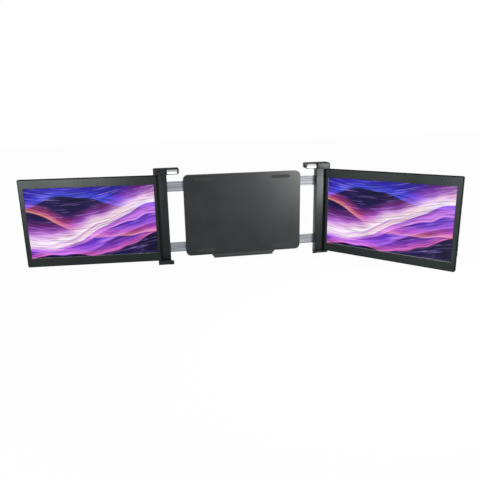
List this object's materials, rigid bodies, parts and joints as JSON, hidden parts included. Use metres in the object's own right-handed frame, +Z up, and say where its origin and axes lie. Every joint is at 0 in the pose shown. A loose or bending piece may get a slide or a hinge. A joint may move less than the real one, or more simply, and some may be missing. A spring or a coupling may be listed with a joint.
{
  "type": "laptop screen extender",
  "caption": "Clip-on extender that hooks over a laptop's lid and carries a folding side screen on a sliding arm at each side, with a fold-out stand behind.",
  "frame": {"origin": "where the lid's top edge seats, midway between the hooks, at the front face of the lid", "axes": "+X to the right as the user sits, +Y away from the user, +Z up the lid"},
  "size_m": [0.9429, 0.2642, 0.2335],
  "materials": {
    "casing_black": "fine moulded texture",
    "bezel_black": "fine moulded texture, slight sheen",
    "housing_black": "fine moulded texture",
    "stand_black": "powder coat",
    "arm_steel": "brushed along its length",
    "steel": "plain",
    "plate_silver": "satin with a bright rim",
    "soft_rubber": "dull",
    "felt": "pressed",
    "guide_nylon": "natural nylon",
    "display_glass": "lit panel under a satin film",
    "tray_metal": "pressed sheet",
    "board_green": "solder resist",
    "switch_white": "moulded",
    "button_black": "smooth"
  },
  "bodies": {
    "centre_body": {"center_front_cover": "casing_black", "center_rear_cover": "casing_black", "arm_guides": "guide_nylon", "friction_pads": "felt", "lid_pads": "soft_rubber", "center_screws": "steel", "stand_pins": "steel"},
    "stand": {"stand": "stand_black", "stand_foot": "soft_rubber"},
    "left_arm": {"left_upper_arm": "arm_steel", "left_lower_arm": "arm_steel", "left_pillar": "housing_black", "left_hinge_housing": "housing_black", "left_hook": "housing_black", "left_hook_plate": "plate_silver", "left_hook_liner": "soft_rubber", "left_foot": "housing_black", "left_foot_pad": "soft_rubber", "left_hinge_pins": "steel", "left_arm_screws": "steel"},
    "left_screen": {"left_bezel": "bezel_black", "left_back_cover": "casing_black", "left_display": "display_glass", "left_lcd_module": "tray_metal", "left_driver_board": "board_green", "left_ports": "steel", "left_switches": "switch_white", "left_hinge_barrels": "steel", "left_screen_screws": "steel"},
    "left_power_button": {"left_power_button": "button_black"},
    "left_plus_button": {"left_plus_button": "button_black"},
    "left_minus_button": {"left_minus_button": "button_black"},
    "right_arm": {"right_upper_arm": "arm_steel", "right_lower_arm": "arm_steel", "right_pillar": "housing_black", "right_hinge_housing": "housing_black", "right_hook": "housing_black", "right_hook_plate": "plate_silver", "right_hook_liner": "soft_rubber", "right_foot": "housing_black", "right_foot_pad": "soft_rubber", "right_hinge_pins": "steel", "right_arm_screws": "steel"},
    "right_screen": {"right_bezel": "bezel_black", "right_back_cover": "casing_black", "right_display": "display_glass", "right_lcd_module": "tray_metal", "right_driver_board": "board_green", "right_ports": "steel", "right_switches": "switch_white", "right_hinge_barrels": "steel", "right_screen_screws": "steel"},
    "right_power_button": {"right_power_button": "button_black"},
    "right_plus_button": {"right_plus_button": "button_black"},
    "right_minus_button": {"right_minus_button": "button_black"}
  },
  "joints": [
    {"name": "stand_hinge", "type": "hinge", "parent": "centre_body", "child": "stand", "pos_m": [0, 0.0192, -0.058], "axis": [1, 0, 0], "range_deg": [0, 70]},
    {"name": "left_slide", "type": "slide", "parent": "centre_body", "child": "left_arm", "axis": [-1, 0, 0], "range_m": [-0.037, 0.012]},
    {"name": "left_fold", "type": "hinge", "parent": "left_arm", "child": "left_screen", "pos_m": [-0.2094, 0.0042, -0.114], "axis": [0, 0, 1], "range_deg": [-41.5, 183.5]},
    {"name": "left_power_button_press", "type": "slide", "parent": "left_screen", "child": "left_power_button", "axis": [0.9981, -0.061, 0], "range_m": [0, 0.0005], "stiffness_N_per_m": 1500},
    {"name": "left_plus_button_press", "type": "slide", "parent": "left_screen", "child": "left_plus_button", "axis": [0.9981, -0.061, 0], "range_m": [0, 0.0005], "stiffness_N_per_m": 1500},
    {"name": "left_minus_button_press", "type": "slide", "parent": "left_screen", "child": "left_minus_button", "axis": [0.9981, -0.061, 0], "range_m": [0, 0.0005], "stiffness_N_per_m": 1500},
    {"name": "right_slide", "type": "slide", "parent": "centre_body", "child": "right_arm", "axis": [1, 0, 0], "range_m": [-0.037, 0.012]},
    {"name": "right_fold", "type": "hinge", "parent": "right_arm", "child": "right_screen", "pos_m": [0.2094, -0.0068, -0.114], "axis": [0, 0, -1], "range_deg": [-92, 133]},
    {"name": "right_power_button_press", "type": "slide", "parent": "right_screen", "child": "right_power_button", "axis": [-0.682, 0.7314, 0], "range_m": [0, 0.0005], "stiffness_N_per_m": 1500},
    {"name": "right_plus_button_press", "type": "slide", "parent": "right_screen", "child": "right_plus_button", "axis": [-0.682, 0.7314, 0], "range_m": [0, 0.0005], "stiffness_N_per_m": 1500},
    {"name": "right_minus_button_press", "type": "slide", "parent": "right_screen", "child": "right_minus_button", "axis": [-0.682, 0.7314, 0], "range_m": [0, 0.0005], "stiffness_N_per_m": 1500}
  ]
}
